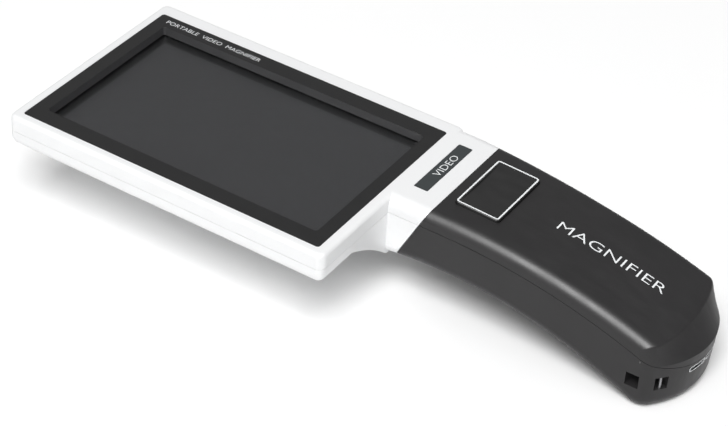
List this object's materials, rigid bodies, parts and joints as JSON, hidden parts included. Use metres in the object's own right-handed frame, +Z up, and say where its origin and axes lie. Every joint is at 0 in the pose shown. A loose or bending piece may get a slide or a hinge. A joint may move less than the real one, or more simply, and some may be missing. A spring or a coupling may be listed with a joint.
{
  "type": "video magnifier",
  "caption": "Hand-held electronic video magnifier: wide flat head with a recessed display, camera hood underneath and an arched handle with a large button.",
  "frame": {"origin": "middle of the bounding box's base, on the page that the magnifier stands on", "axes": "+X along the head from its free end to the handle, +Y away from the reader, +Z up out of the display"},
  "size_m": [0.215, 0.0796, 0.0375],
  "materials": {
    "white_plastic": "satin",
    "dark_plastic": "satin, fine texture",
    "button_plastic": "satin",
    "hood_plastic": "fine texture",
    "bezel_plastic": "satin",
    "label_film": "satin",
    "outline_inlay": "satin",
    "screen_glass": "polished",
    "display_film": "smooth",
    "window_glass": "polished",
    "lens_glass": "coated",
    "gasket_foam": "foam",
    "glide_rubber": "soft touch",
    "tray_steel": "brushed",
    "screw_steel": "black zinc",
    "port_steel": "bright",
    "contact_brass": "bright",
    "board_laminate": "lacquered",
    "chip_plastic": "moulded",
    "barrel_metal": "black anodised",
    "emitter_resin": "clear",
    "plunger_plastic": "satin",
    "ribbon_film": "film",
    "battery_wrap": "shrink film"
  },
  "bodies": {
    "magnifier": {"front_housing": "white_plastic", "rear_housing": "white_plastic", "handle_top_shell": "dark_plastic", "handle_bottom_shell": "dark_plastic", "camera_hood": "hood_plastic", "screen_bezel": "bezel_plastic", "label_plate": "label_film", "touch_glass": "screen_glass", "display_panel": "display_film", "camera_window": "window_glass", "camera_lens": "lens_glass", "display_gasket": "gasket_foam", "glide_ring": "glide_rubber", "display_tray": "tray_steel", "shield_can": "tray_steel", "housing_screws": "screw_steel", "tray_screws": "screw_steel", "board_screws": "screw_steel", "hood_screws": "screw_steel", "grip_screws": "screw_steel", "neck_screws": "screw_steel", "button_board_screws": "screw_steel", "strap_pin": "screw_steel", "charging_port": "port_steel", "video_port": "port_steel", "battery_contacts": "contact_brass", "main_board": "board_laminate", "camera_board": "board_laminate", "light_board": "board_laminate", "button_board": "board_laminate", "port_board": "board_laminate", "board_chips": "chip_plastic", "board_connectors": "chip_plastic", "lens_mount": "chip_plastic", "tactile_switch": "chip_plastic", "port_tongues": "chip_plastic", "image_sensor": "chip_plastic", "lens_barrel": "barrel_metal", "light_emitters": "emitter_resin", "display_ribbon": "ribbon_film", "handle_ribbon": "ribbon_film", "port_ribbon": "ribbon_film", "battery_pack": "battery_wrap"},
    "button": {"power_button": "button_plastic", "button_outline": "outline_inlay", "switch_plunger": "plunger_plastic"},
    "cover": {"battery_cover": "dark_plastic"}
  },
  "joints": [
    {"name": "button_press", "type": "slide", "parent": "magnifier", "child": "button", "axis": [-0.0473, 0, -0.9989], "range_m": [0, 0.0006], "stiffness_N_per_m": 1500, "springref_m": -0.0003},
    {"name": "cover_hinge", "type": "hinge", "parent": "magnifier", "child": "cover", "pos_m": [0.0476, 0.0177, 0.0147], "axis": [0, 1, 0], "range_deg": [0, 35]}
  ]
}
